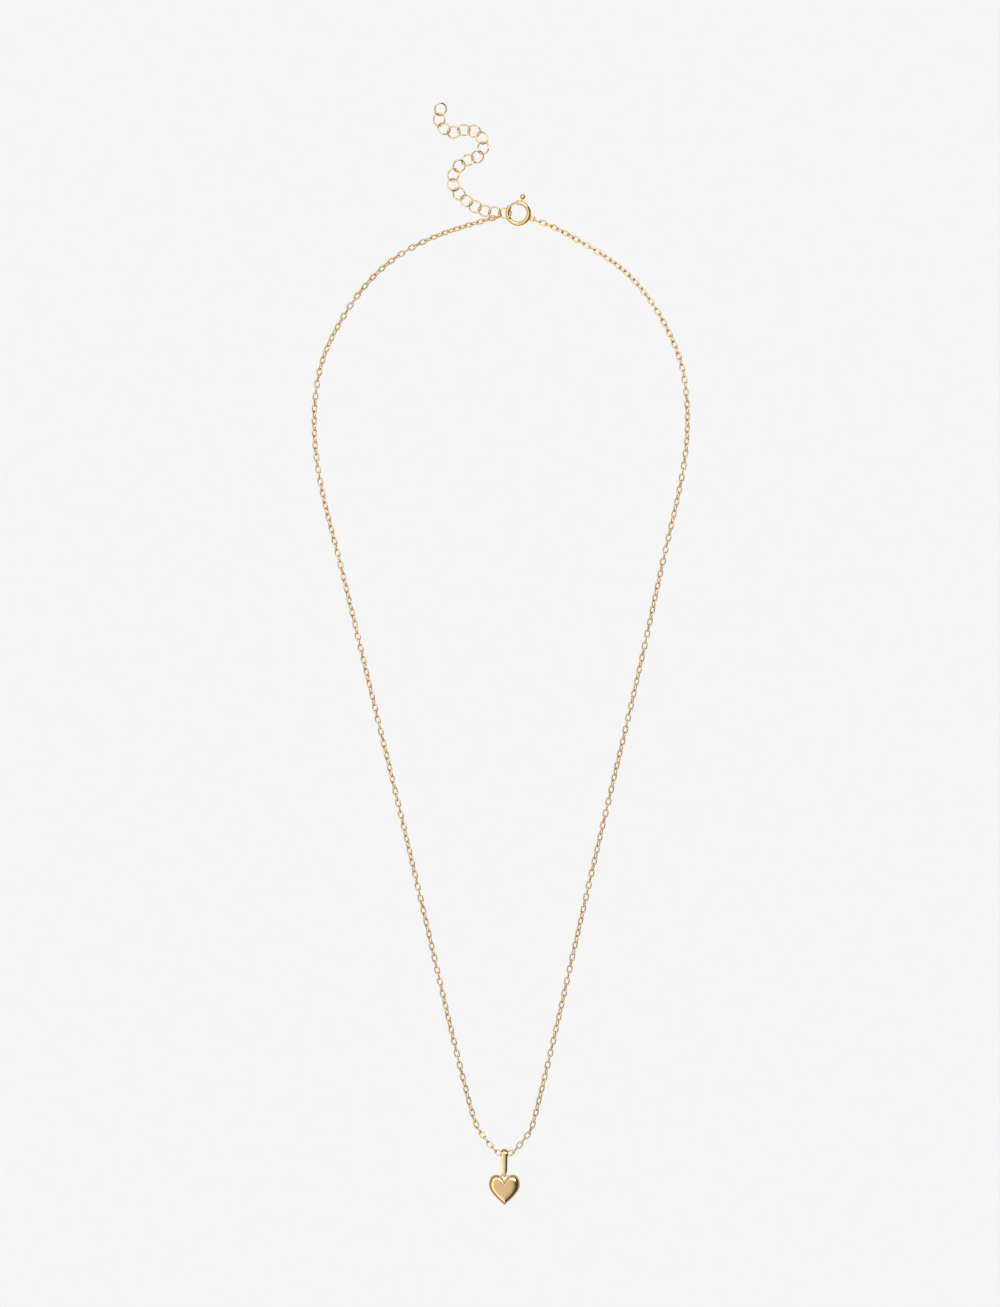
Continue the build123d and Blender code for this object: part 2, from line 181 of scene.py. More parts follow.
@dataclass(frozen=True)
class MetalFinish:
    """A polished metal with the marks that polishing and wear leave on it.

    The ranges are the parts of each noise that the marks use, from none to full.
    """

    name: str
    colour: tuple[float, float, float]
    deep: tuple[float, float, float]
    roughness: tuple[float, float]
    mottle: float
    scratch: float
    scratch_turn: float
    ripple_height: float
    scratch_height: float
    mottle_range: tuple[float, float] = (0.36, 0.66)
    hairline_range: tuple[float, float] = (0.46, 0.72)
    swirl_range: tuple[float, float] = (0.35, 0.65)
    hairline_wear: float = 0.6
    swirl_wear: float = 0.4
    hairline_depth: float = 0.6
    hairline_lean: tuple[float, float] = (0.3, 0.2)
    hairline_stretch: tuple[float, float, float] = (1.0, 0.06, 1.0)

    def material(self) -> bpy.types.Material:
        """Build the finish's material.

        Returns:
            The material, with its colour, roughness and relief from nodes.
        """
        made = bpy.data.materials.new(self.name)
        made.use_nodes = True
        graph = NodeGraph(made.node_tree)
        place = graph.add("TexCoord").outputs["Object"]
        turned = graph.add("Mapping")
        graph.put(turned.inputs["Vector"], place)
        graph.put(turned.inputs["Rotation"], (*self.hairline_lean, self.scratch_turn))
        graph.put(turned.inputs["Scale"], self.hairline_stretch)
        mottle = graph.noise(place, self.mottle, 3.0)
        swirl = graph.noise(place, self.mottle * 0.3, 2.0)
        hairlines = graph.noise(turned.outputs["Vector"], self.scratch, 4.0, 0.62)
        pits = graph.noise(place, self.scratch * 0.7, 2.0)

        shader = graph.add("BsdfPrincipled")
        tone = graph.between(mottle, *self.mottle_range, (0.0, 1.0))
        gold = graph.mix(tone, (*self.deep, 1.0), (*self.colour, 1.0))
        graph.put(shader.inputs["Base Color"], gold)
        shader.inputs["Metallic"].default_value = 1.0

        smooth, worn = self.roughness
        swirled = smooth + self.swirl_wear * (worn - smooth)
        wear = graph.add("Math", operation="MULTIPLY_ADD")
        graph.put(wear.inputs[0], graph.between(hairlines, *self.hairline_range, (0.0, 1.0)))
        graph.put(wear.inputs[1], (worn - smooth) * self.hairline_wear)
        graph.put(wear.inputs[2], graph.between(swirl, *self.swirl_range, (smooth, swirled)))
        graph.put(shader.inputs["Roughness"], wear.outputs["Value"])

        ripple = graph.add("Bump")
        ripple.inputs["Strength"].default_value = 1.0
        ripple.inputs["Distance"].default_value = self.ripple_height
        graph.put(ripple.inputs["Height"], swirl)
        lines = graph.add("Bump")
        lines.inputs["Strength"].default_value = self.hairline_depth
        lines.inputs["Distance"].default_value = self.scratch_height
        marks = graph.add("Math", operation="ADD")
        graph.put(marks.inputs[0], hairlines)
        graph.put(marks.inputs[1], pits)
        graph.put(lines.inputs["Height"], marks.outputs["Value"])
        graph.put(lines.inputs["Normal"], ripple.outputs["Normal"])
        graph.put(shader.inputs["Normal"], lines.outputs["Normal"])

        output = graph.add("OutputMaterial")
        graph.put(output.inputs["Surface"], shader.outputs["BSDF"])
        return made


@dataclass(frozen=True)
class PaperFinish:
    """The smooth pale sheet under the necklace.

    Glossy rays see the sheet in a deeper, warmer colour than the one it is seen in: a painted
    reflection that darkens the metal where it mirrors the sheet.
    """

    name: str
    colour: tuple[float, float, float]
    shade: tuple[float, float, float]
    # The colour of the painted reflection: glossy rays see the sheet in it, which darkens the
    # metal's rims and edges.
    painted_reflection: tuple[float, float, float]
    fibre: float
    fibre_range: tuple[float, float] = (0.3, 0.7)

    def material(self) -> bpy.types.Material:
        """Build the sheet's material.

        Returns:
            A matt material with a faint grain, and a painted reflection colour that glossy rays see
            in its place.
        """
        made = bpy.data.materials.new(self.name)
        made.use_nodes = True
        graph = NodeGraph(made.node_tree)
        place = graph.add("TexCoord").outputs["Object"]
        grain = graph.noise(place, self.fibre, 3.0)
        shader = graph.add("BsdfPrincipled")
        tone = graph.between(grain, *self.fibre_range, (0.0, 1.0))
        sheet = graph.mix(tone, (*self.shade, 1.0), (*self.colour, 1.0))
        # Painted reflection: glossy rays see the sheet in a darker, warmer colour than its own.
        painted_reflection_share = graph.add("LightPath").outputs["Is Glossy Ray"]
        shown = graph.mix(painted_reflection_share, sheet, (*self.painted_reflection, 1.0))
        graph.put(shader.inputs["Base Color"], shown)
        shader.inputs["Roughness"].default_value = 0.9
        shader.inputs["Specular IOR Level"].default_value = 0.1
        output = graph.add("OutputMaterial")
        graph.put(output.inputs["Surface"], shader.outputs["BSDF"])
        return made


CHAIN_GOLD = MetalFinish(
    name="chain_gold",
    colour=(0.95, 0.70, 0.36),
    deep=(0.86, 0.60, 0.28),
    roughness=(0.10, 0.24),
    mottle=900.0,
    scratch=9000.0,
    scratch_turn=0.5,
    ripple_height=4e-6,
    scratch_height=1.2e-6,
)
RING_GOLD = MetalFinish(
    name="ring_gold",
    colour=(0.96, 0.71, 0.37),
    deep=(0.88, 0.61, 0.29),
    roughness=(0.09, 0.22),
    mottle=700.0,
    scratch=8000.0,
    scratch_turn=1.1,
    ripple_height=4e-6,
    scratch_height=1.2e-6,
)
CLASP_GOLD = MetalFinish(
    name="clasp_gold",
    colour=(0.95, 0.70, 0.36),
    deep=(0.90, 0.64, 0.31),
    roughness=(0.07, 0.18),
    mottle=600.0,
    scratch=9000.0,
    scratch_turn=0.8,
    ripple_height=5e-6,
    scratch_height=1.0e-6,
)
PENDANT_GOLD = MetalFinish(
    name="pendant_gold",
    colour=(0.95, 0.70, 0.38),
    deep=(0.91, 0.65, 0.34),
    roughness=(0.08, 0.20),
    mottle=420.0,
    scratch=7000.0,
    scratch_turn=0.9,
    ripple_height=1.2e-5,
    scratch_height=1.0e-6,
)
SPRING_STEEL = MetalFinish(
    name="spring_steel",
    colour=(0.62, 0.61, 0.59),
    deep=(0.50, 0.49, 0.47),
    roughness=(0.20, 0.38),
    mottle=900.0,
    scratch=9000.0,
    scratch_turn=0.2,
    ripple_height=3e-6,
    scratch_height=1.5e-6,
)
PALE_SHEET = PaperFinish(
    name="pale_sheet",
    colour=(0.93, 0.93, 0.93),
    shade=(0.92, 0.92, 0.92),
    # Painted reflection: the darker, warmer colour that the metal mirrors in place of the sheet.
    painted_reflection=(0.56, 0.46, 0.35),
    fibre=260.0,
)

FINISH_OF_SLOT = {
    Slot.CHAIN: CHAIN_GOLD,
    Slot.RINGS: RING_GOLD,
    Slot.CLASP: CLASP_GOLD,
    Slot.PENDANT: PENDANT_GOLD,
    Slot.SPRING: SPRING_STEEL,
}


class Wardrobe:
    """Makes each finish's material once."""

    def __init__(self) -> None:
        """Start with nothing made."""
        self.made: dict[str, bpy.types.Material] = {}

    def material(self, finish: MetalFinish | PaperFinish) -> bpy.types.Material:
        """The material of a finish.

        Args:
            finish: Which finish.

        Returns:
            Its material, made on the first call.
        """
        if finish.name not in self.made:
            self.made[finish.name] = finish.material()
        return self.made[finish.name]


# ---------------------------------------------------------------- mesh tools


def finish_mesh(shape: bmesh.types.BMesh, name: str, sharp_degrees: float) -> bpy.types.Object:
    """Turn a bmesh into an object at the origin, smooth but for its sharp edges.

    Args:
        shape: The bmesh, which is freed.
        name: The object's name.
        sharp_degrees: Edges that bend more than this stay sharp.

    Returns:
        The new object, in the scene.
    """
    mesh = bpy.data.meshes.new(name)
    shape.to_mesh(mesh)
    shape.free()
    mesh.shade_smooth()
    mesh.set_sharp_from_angle(angle=math.radians(sharp_degrees))
    made = bpy.data.objects.new(name, mesh)
    bpy.context.scene.collection.objects.link(made)
    return made


def send_out(
    piece: bpy.types.Object, body: str, slot: Slot, wardrobe: Wardrobe, nodes: Sequence[str]
) -> None:
    """Dress a piece, and put it on its body in place of its nodes.

    Args:
        piece: The finished object.
        body: The body that it rides on.
        slot: The material slot that it takes its finish from.
        wardrobe: Where its material comes from.
        nodes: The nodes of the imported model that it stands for.
    """
    piece.data.materials.clear()
    piece.data.materials.append(wardrobe.material(FINISH_OF_SLOT[slot]))
    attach(piece, body)
    if nodes:
        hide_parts(*nodes)
    LOG.info("%s rides on %s, %d faces", piece.name, body, len(piece.data.polygons))


def wire_circle(
    shape: bmesh.types.BMesh, place: Matrix, radius: float, sides: int
) -> list:
    """Add the round section of a wire.

    Args:
        shape: The bmesh to add to.
        place: Where the section's middle and its plane are.
        radius: The wire's radius.
        sides: Corners of the section.

    Returns:
        The section's edges.
    """
    made = bmesh.ops.create_circle(
        shape, cap_ends=False, radius=radius, segments=sides, matrix=place
    )
    return list({edge for vert in made["verts"] for edge in vert.link_edges})


def pull_loop(shape: bmesh.types.BMesh, edges: Sequence) -> tuple[list, list]:
    """Pull a band of faces out of a loop, with no length yet.

    Args:
        shape: The bmesh that holds the loop.
        edges: The loop's edges.

    Returns:
        The new loop's points and its edges.
    """
    pulled = bmesh.ops.extrude_edge_only(shape, edges=edges)
    points = [g for g in pulled["geom"] if isinstance(g, bmesh.types.BMVert)]
    fresh = set(points)
    loop = [
        g for g in pulled["geom"]
        if isinstance(g, bmesh.types.BMEdge) and g.verts[0] in fresh and g.verts[1] in fresh
    ]
    return points, loop


def cap_ends(shape: bmesh.types.BMesh, loops: Sequence[Sequence]) -> None:
    """Close each loop of edges with one flat face, and turn every face outwards."""
    for loop in loops:
        corners = list({vert for edge in loop for vert in edge.verts})
        bmesh.ops.contextual_create(shape, geom=corners)
    bmesh.ops.recalc_face_normals(shape, faces=shape.faces[:])


def sweep(
    shape: bmesh.types.BMesh,
    edges: Sequence,
    middle: Vector,
    axis: Vector,
    angle: float,
    steps: int,
) -> list:
    """Sweep a section about an axis.

    Args:
        shape: The bmesh that holds the section.
        edges: The section's edges.
        middle: A point on the axis.
        axis: The axis's direction.
        angle: How far to sweep, in radians.
        steps: How many steps to take.

    Returns:
        The edges of the section where the sweep ends.
    """
    geometry = list(edges) + list({vert for edge in edges for vert in edge.verts})
    full = math.isclose(abs(angle), FULL_TURN, abs_tol=1e-6)
    swept = bmesh.ops.spin(
        shape, geom=geometry, cent=middle, axis=axis, dvec=(0, 0, 0), angle=angle,
        steps=steps, use_merge=full, use_duplicate=False,
    )
    return [g for g in swept["geom_last"] if isinstance(g, bmesh.types.BMEdge)]


def close_up(shape: bmesh.types.BMesh) -> None:
    """Merge doubles and turn every face outwards."""
    bmesh.ops.remove_doubles(shape, verts=shape.verts[:], dist=SAME_POINT)
    bmesh.ops.recalc_face_normals(shape, faces=shape.faces[:])


def section_place(middle: Vector, outward: Vector, up: Vector) -> Matrix:
    """The matrix of a section that lies in the plane of outward and up, about its middle."""
    normal = outward.cross(up).normalized()
    side = up.cross(normal).normalized()
    turn = Matrix((side, up.normalized(), normal)).transposed().to_4x4()
    return Matrix.Translation(middle) @ turn


@dataclass(frozen=True)
class Place:
    """Where a flat, long or round piece of wire lies."""

    middle: Vector
    along: Vector
    across: Vector
    normal: Vector

    def matrix(self) -> Matrix:
        """The matrix that carries a piece made flat at the origin to this place."""
        turn = Matrix((self.along, self.across, self.normal)).transposed().to_4x4()
        return Matrix.Translation(self.middle) @ turn


class NodeReader:
    """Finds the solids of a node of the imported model, and how each lies."""

    @staticmethod
    def islands(node: str) -> list[np.ndarray]:
        """The points of each separate solid of a node.

        Args:
            node: The node's name.

        Returns:
            One array of points for each solid, in the order along the necklace.
        """
        shape = bmesh.new()
        shape.from_mesh(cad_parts[node].data)
        bmesh.ops.remove_doubles(shape, verts=shape.verts[:], dist=SAME_CAD_POINT)
        seen: set = set()
        found = []
        for start in shape.verts:
            if start in seen:
                continue
            seen.add(start)
            stack, group = [start], []
            while stack:
                vert = stack.pop()
                group.append(tuple(vert.co))
                for edge in vert.link_edges:
                    other = edge.other_vert(vert)
                    if other not in seen:
                        seen.add(other)
                        stack.append(other)
            found.append(np.array(group))
        shape.free()
        return found

    @staticmethod
    def place(points: np.ndarray) -> Place:
        """How a solid lies, from its box's middle and its principal directions.

        Args:
            points: The solid's points.

        Returns:
            Its place: along its longest way, and normal to its thinnest.
        """
        middle = points.mean(0)
        _, _, rows = np.linalg.svd(points - middle, full_matrices=False)
        local = (points - middle) @ rows.T
        middle = middle + ((local.max(0) + local.min(0)) / 2) @ rows
        along, normal = Vector(rows[0]), Vector(rows[2])
        if normal.z < 0:
            normal.negate()
        return Place(Vector(middle), along, normal.cross(along).normalized(), normal)

    @classmethod
    def places(cls, node: str) -> list[Place]:
        """The places of all of a node's solids."""
        return [cls.place(points) for points in cls.islands(node)]


# ---------------------------------------------------------------- chain


@dataclass
class OvalLink:
    """One soldered link of round wire, made flat at the origin with its length along X."""

    length: float = 1.84 * MM
    width: float = 1.16 * MM
    wire: float = 0.28 * MM
    sides: int = 6
    bend_steps: int = 5

    def add_to(self, shape: bmesh.types.BMesh, place: Place) -> None:
        """Add the link to a bmesh.

        Args:
            shape: The bmesh to add to.
            place: Where the link lies.
        """
        bend = (self.width - self.wire) / 2
        half = (self.length - self.width) / 2
        before = set(shape.verts)
        start = section_place(Vector((half, -bend, 0)), -Y_AXIS, Z_AXIS)
        first = wire_circle(shape, start, self.wire / 2, self.sides)
        far_end = sweep(shape, first, Vector((half, 0, 0)), Z_AXIS, math.pi, self.bend_steps)
        moved, side = pull_loop(shape, far_end)
        bmesh.ops.translate(shape, verts=moved, vec=(-2 * half, 0, 0))
        last = sweep(shape, side, Vector((-half, 0, 0)), Z_AXIS, math.pi, self.bend_steps)
        bmesh.ops.bridge_loops(shape, edges=first + last)
        new = [vert for vert in shape.verts if vert not in before]
        bmesh.ops.transform(shape, matrix=place.matrix(), verts=new)


@dataclass
class CableChain:
    """The cable chain: the links at the bail, and the stretches up both sides."""

    link: OvalLink
    wardrobe: Wardrobe
    stretches: int = 12

    def bodies(self) -> list[str]:
        """The names of the chain's bodies, which are its nodes' names too."""
        numbers = range(1, self.stretches + 1)
        sides = [f"{side}_chain_{n:02d}" for side in ("left", "right") for n in numbers]
        return ["chain_center", *sides]

    def build(self) -> None:
        """Build each stretch's links and send it out."""
        for body in self.bodies():
            shape = bmesh.new()
            places = NodeReader.places(body)
            for place in places:
                self.link.add_to(shape, place)
            bmesh.ops.recalc_face_normals(shape, faces=shape.faces[:])
            piece = finish_mesh(shape, f"{body}_links", 80)
            send_out(piece, body, Slot.CHAIN, self.wardrobe, [body])


# ---------------------------------------------------------------- rings


@dataclass
class ButtedRing:
    """A ring of round wire, bent closed so that its two cut ends meet."""

    outer: float = 2.76 * MM
    wire: float = 0.30 * MM
    sides: int = 14
    steps: int = 56
    cut: float = 0.016 * MM
    edge: float = 0.02 * MM
    edge_steps: int = 2

    def build(self, name: str, place: Place, cut_angle: float) -> bpy.types.Object:
        """Build the ring.

        Args:
            name: The object's name.
            place: Where the ring lies.
            cut_angle: Where its cut is, in radians from the place's length.

        Returns:
            The ring.
        """
        bend = (self.outer - self.wire) / 2
        gap = self.cut / bend
        shape = bmesh.new()
        start = section_place(Vector((bend, 0, 0)), X_AXIS, Z_AXIS)
        first = wire_circle(shape, start, self.wire / 2, self.sides)
        last = sweep(shape, first, Vector(), Z_AXIS, FULL_TURN - gap, self.steps)
        cap_ends(shape, (first, last))
        bmesh.ops.bevel(
            shape, geom=first + last, offset=self.edge, offset_type="OFFSET",
            segments=self.edge_steps, profile=0.5, affect="EDGES", material=-1,
        )
        spin_to = place.matrix() @ Matrix.Rotation(cut_angle, 4, "Z")
        bmesh.ops.transform(shape, matrix=spin_to, verts=shape.verts[:])
        return finish_mesh(shape, name, 50)


@dataclass
class RingRun:
    """The jump ring, the connector and the extender's rings.

    Each ring's cut is turned on from the last one's, so that the cuts don't line up.
    """

    ring: ButtedRing
    connector: OvalLink
    wardrobe: Wardrobe
    extender_rings: int = 18
    golden_turn: float = 2.39996

    def build(self) -> None:
        """Build each ring and send it out."""
        numbers = range(1, self.extender_rings + 1)
        names = ["jump_ring", *(f"extender_ring_{n:02d}" for n in numbers)]
        for number, name in enumerate(names):
            place = NodeReader.places(name)[0]
            piece = self.ring.build(f"{name}_wire", place, number * self.golden_turn)
            send_out(piece, name, Slot.RINGS, self.wardrobe, [name])
        shape = bmesh.new()
        self.connector.add_to(shape, NodeReader.places("connector")[0])
        bmesh.ops.recalc_face_normals(shape, faces=shape.faces[:])
        piece = finish_mesh(shape, "connector_link", 80)
        send_out(piece, "connector", Slot.RINGS, self.wardrobe, ["connector"])


# ---------------------------------------------------------------- clasp


@dataclass
class SpringRing:
    """The spring ring clasp: a slit tube, a bolt with its ball, the spring behind it and a tab."""

    wardrobe: Wardrobe
    middle: Vector
    tilt: float = math.radians(14.0)
    outer: float = 5.1 * MM
    tube: float = 0.85 * MM
    wall: float = 0.16 * MM
    bolt: float = 0.42 * MM
    mouth: tuple[float, float] = (100.0, 140.0)
    slot: tuple[float, float] = (19.0, 79.0)
    slot_sides: int = 3
    slot_ease: float = 0.1
    tube_sides: int = 24
    tube_steps: int = 120
    tube_edge: float = 0.025 * MM
    bolt_sides: int = 16
    bolt_steps: int = 36
    bolt_rounding: float = 0.22
    bolt_ends: tuple[float, float] = (70.0, 152.0)
    spring_ends: tuple[float, float] = (-61.0, 69.0)
    spring_wire: float = 0.08 * MM
    spring_turns: int = 26
    spring_steps: int = 12
    ball_angle: float = 75.0
    ball_reach: float = 3.42 * MM
    ball: float = 1.06 * MM
    stem: float = 0.26 * MM
    stem_fillet: float = 1.25
    ball_bands: int = 14
    ball_steps: int = 28
    tab_angle: float = -22.0
    tab_hole: float = 0.68 * MM
    tab_rim: float = 0.28 * MM
    tab_thickness: float = 0.36 * MM
    tab_sides: int = 32
    tab_rounding: float = 0.09 * MM
    neck_share: float = 0.72
    neck_taper: float = 0.35

    @property
    def bend(self) -> float:
        """Radius of the tube's centre line."""
        return (self.outer - self.tube) / 2

    def frame(self) -> Matrix:
        """The clasp's own frame, with Z along its axis."""
        return Matrix.Translation(self.middle) @ Matrix.Rotation(self.tilt, 4, "X")

    def arc(
        self,
        shape: bmesh.types.BMesh,
        radius: float,
        sides: int,
        start: float,
        end: float,
        steps: int,
    ) -> tuple[list, list]:
        """Sweep a round section along part of the tube's centre line.

        Args:
            shape: The bmesh to add to.
            radius: The section's radius.
            sides: The section's corners.
            start: Where the sweep starts, in degrees.
            end: Where it ends.
            steps: How many steps to take.

        Returns:
            The edges of the two end sections.
        """
        angle = math.radians(start)
        outward = Vector((math.cos(angle), math.sin(angle), 0))
        half_side = Matrix.Rotation(math.pi / sides, 4, "Z")
        place = section_place(outward * self.bend, outward, Z_AXIS) @ half_side
        first = wire_circle(shape, place, radius, sides)
        last = sweep(shape, first, Vector(), Z_AXIS, math.radians(end - start), steps)
        return first, last

    def place_all(self, shape: bmesh.types.BMesh) -> None:
        """Carry everything in a bmesh out of the clasp's own frame."""
        bmesh.ops.transform(shape, matrix=self.frame(), verts=shape.verts[:])

    def build_tube(self) -> bpy.types.Object:
        """Build the tube, with its mouth and the slot that the ball's stem runs in.

        Returns:
            The tube.
        """
        shape = bmesh.new()
        start, end = self.mouth[1], self.mouth[0] + 360
        self.arc(shape, self.tube / 2, self.tube_sides, start, end, self.tube_steps)
        close_up(shape)
        half_width = (self.slot_sides / 2 + self.slot_ease) * 360 / self.tube_sides
        open_faces = []
        for face in shape.faces:
            spot = face.calc_center_median()
            around = math.degrees(math.atan2(spot.y, spot.x)) % 360
            out = math.hypot(spot.x, spot.y) - self.bend
            lean = abs(math.degrees(math.atan2(spot.z, out)))
            if self.slot[0] < around < self.slot[1] and lean < half_width:
                open_faces.append(face)
        bmesh.ops.delete(shape, geom=open_faces, context="FACES")
        self.place_all(shape)
        piece = finish_mesh(shape, "clasp_tube_shell", 40)
        wall = piece.modifiers.new("wall", "SOLIDIFY")
        wall.thickness = self.wall
        wall.offset = -1
        wall.use_even_offset = True
        edge = piece.modifiers.new("edge", "BEVEL")
        edge.width = self.tube_edge
        edge.segments = 2
        edge.limit_method = "ANGLE"
        edge.angle_limit = math.radians(50)
        return piece

    def build_bolt(self) -> bpy.types.Object:
        """Build the bolt with its rounded tip, its stem and the ball.

        Returns:
            The bolt.
        """
        shape = bmesh.new()
        first, last = self.arc(
            shape, self.bolt / 2, self.bolt_sides, *self.bolt_ends, self.bolt_steps
        )
        cap_ends(shape, (first, last))
        bmesh.ops.bevel(
            shape, geom=first + last, offset=self.bolt * self.bolt_rounding,
            offset_type="OFFSET", segments=4, profile=0.5, affect="EDGES", material=-1,
        )
        self.add_ball(shape)
        self.place_all(shape)
        return finish_mesh(shape, "clasp_bolt_and_ball", 50)

    def add_ball(self, shape: bmesh.types.BMesh) -> None:
        """Turn the stem, its flared neck and the ball as one lathe profile.

        Args:
            shape: The bmesh to add to.
        """
        radius = self.ball / 2
        neck = self.stem / 2
        reach = self.ball_reach
        base = self.bend
        lowest = math.acos(min(1.0, neck * self.stem_fillet / radius))
        profile = [
            Vector((0, 0, base)),
            Vector((neck, 0, base)),
            Vector((neck, 0, reach - radius * 1.12)),
            Vector((neck * 1.06, 0, reach - radius * 1.04)),
        ]
        for k in range(self.ball_bands + 1):
            lean = -lowest + (math.pi / 2 + lowest) * k / self.ball_bands
            profile.append(Vector((radius * math.cos(lean), 0, reach + radius * math.sin(lean))))
        profile[-1].x = 0
        before = set(shape.verts)
        corners = [bmesh.ops.create_vert(shape, co=point)["vert"][0] for point in profile]
        edges = [shape.edges.new(pair) for pair in zip(corners, corners[1:])]
        sweep(shape, edges, Vector(), Z_AXIS, FULL_TURN, self.ball_steps)
        new = [vert for vert in shape.verts if vert not in before]
        bmesh.ops.remove_doubles(shape, verts=new, dist=SAME_POINT)
        new = [vert for vert in shape.verts if vert not in before]
        faces = list({face for vert in new for face in vert.link_faces})
        bmesh.ops.recalc_face_normals(shape, faces=faces)
        around = Matrix.Rotation(math.radians(self.ball_angle), 4, "Z")
        lay_down = Matrix.Rotation(math.pi / 2, 4, "Y")
        bmesh.ops.transform(shape, matrix=around @ lay_down, verts=new)

    def build_spring(self) -> bpy.types.Object:
        """Build the coil spring that lies in the tube behind the bolt.

        Returns:
            The spring.
        """
        coil = (self.bolt - self.spring_wire) / 2
        count = self.spring_turns * self.spring_steps
        curve = bpy.data.curves.new("clasp_spring_coil", "CURVE")
        curve.dimensions = "3D"
        curve.bevel_depth = self.spring_wire / 2
        curve.bevel_resolution = 1
        curve.use_fill_caps = True
        line = curve.splines.new("POLY")
        line.points.add(count)
        low, high = self.spring_ends
        for k in range(count + 1):
            along = math.radians(low + (high - low) * k / count)
            around = FULL_TURN * k / self.spring_steps
            out = self.bend + coil * math.cos(around)
            up = coil * math.sin(around)
            spot = Vector((out * math.cos(along), out * math.sin(along), up))
            line.points[k].co = (*(self.frame() @ spot), 1.0)
        carrier = bpy.data.objects.new("clasp_spring_curve", curve)
        bpy.context.scene.collection.objects.link(carrier)
        depsgraph = bpy.context.evaluated_depsgraph_get()
        mesh = bpy.data.meshes.new_from_object(carrier.evaluated_get(depsgraph))
        bpy.data.objects.remove(carrier)
        shape = bmesh.new()
        shape.from_mesh(mesh)
        close_up(shape)
        return finish_mesh(shape, "clasp_spring_coil", 60)

    def build_tab(self) -> bpy.types.Object:
        """Build the tab: a flat eye on a short neck that is soldered to the tube.

        Returns:
            The tab.
        """
        hole = self.tab_hole / 2
        rim = hole + self.tab_rim
        reach = self.outer / 2 + hole + self.tab_rim / 2
        shape = bmesh.new()
        inner = wire_circle(shape, Matrix(), hole, self.tab_sides)
        outer, _ = pull_loop(shape, inner)
        bmesh.ops.scale(shape, vec=(rim / hole, rim / hole, 1), verts=outer)
        neck_reach = reach - self.bend
        for vert in outer:
            if vert.co.x < -0.2 * rim:
                # The side that faces the tube is drawn out to a neck.
                half_neck = max(abs(vert.co.y), rim * self.neck_share)
                vert.co.y = math.copysign(half_neck, vert.co.y) if vert.co.y else 0.0
                vert.co.x = -neck_reach + (vert.co.x + rim) * self.neck_taper
        bmesh.ops.solidify(shape, geom=shape.faces[:], thickness=self.tab_thickness)
        bmesh.ops.recalc_face_normals(shape, faces=shape.faces[:])
        heights = [vert.co.z for vert in shape.verts]
        middle = (max(heights) + min(heights)) / 2
        bmesh.ops.translate(shape, verts=shape.verts[:], vec=(0, 0, -middle))
        rims = [
            edge for edge in shape.edges if edge.is_manifold and edge.calc_face_angle() > 1.0
        ]
        bmesh.ops.bevel(
            shape, geom=rims, offset=self.tab_rounding, offset_type="OFFSET", segments=3,
            profile=0.5, affect="EDGES", material=-1,
        )
        around = Matrix.Rotation(math.radians(self.tab_angle), 4, "Z")
        turn = around @ Matrix.Translation((reach, 0, 0))
        bmesh.ops.transform(shape, matrix=turn, verts=shape.verts[:])
        self.place_all(shape)
        return finish_mesh(shape, "clasp_tab_eye", 40)

    def build(self) -> None:
        """Build the clasp's four pieces and send them out."""
        send_out(self.build_tube(), "clasp", Slot.CLASP, self.wardrobe, ["clasp_tube"])
        send_out(self.build_spring(), "clasp", Slot.SPRING, self.wardrobe, ["clasp_spring"])
        send_out(self.build_tab(), "clasp", Slot.CLASP, self.wardrobe, ["clasp_tab"])
        send_out(self.build_bolt(), "trigger", Slot.CLASP, self.wardrobe, ["clasp_trigger"])


# ---------------------------------------------------------------- pendant


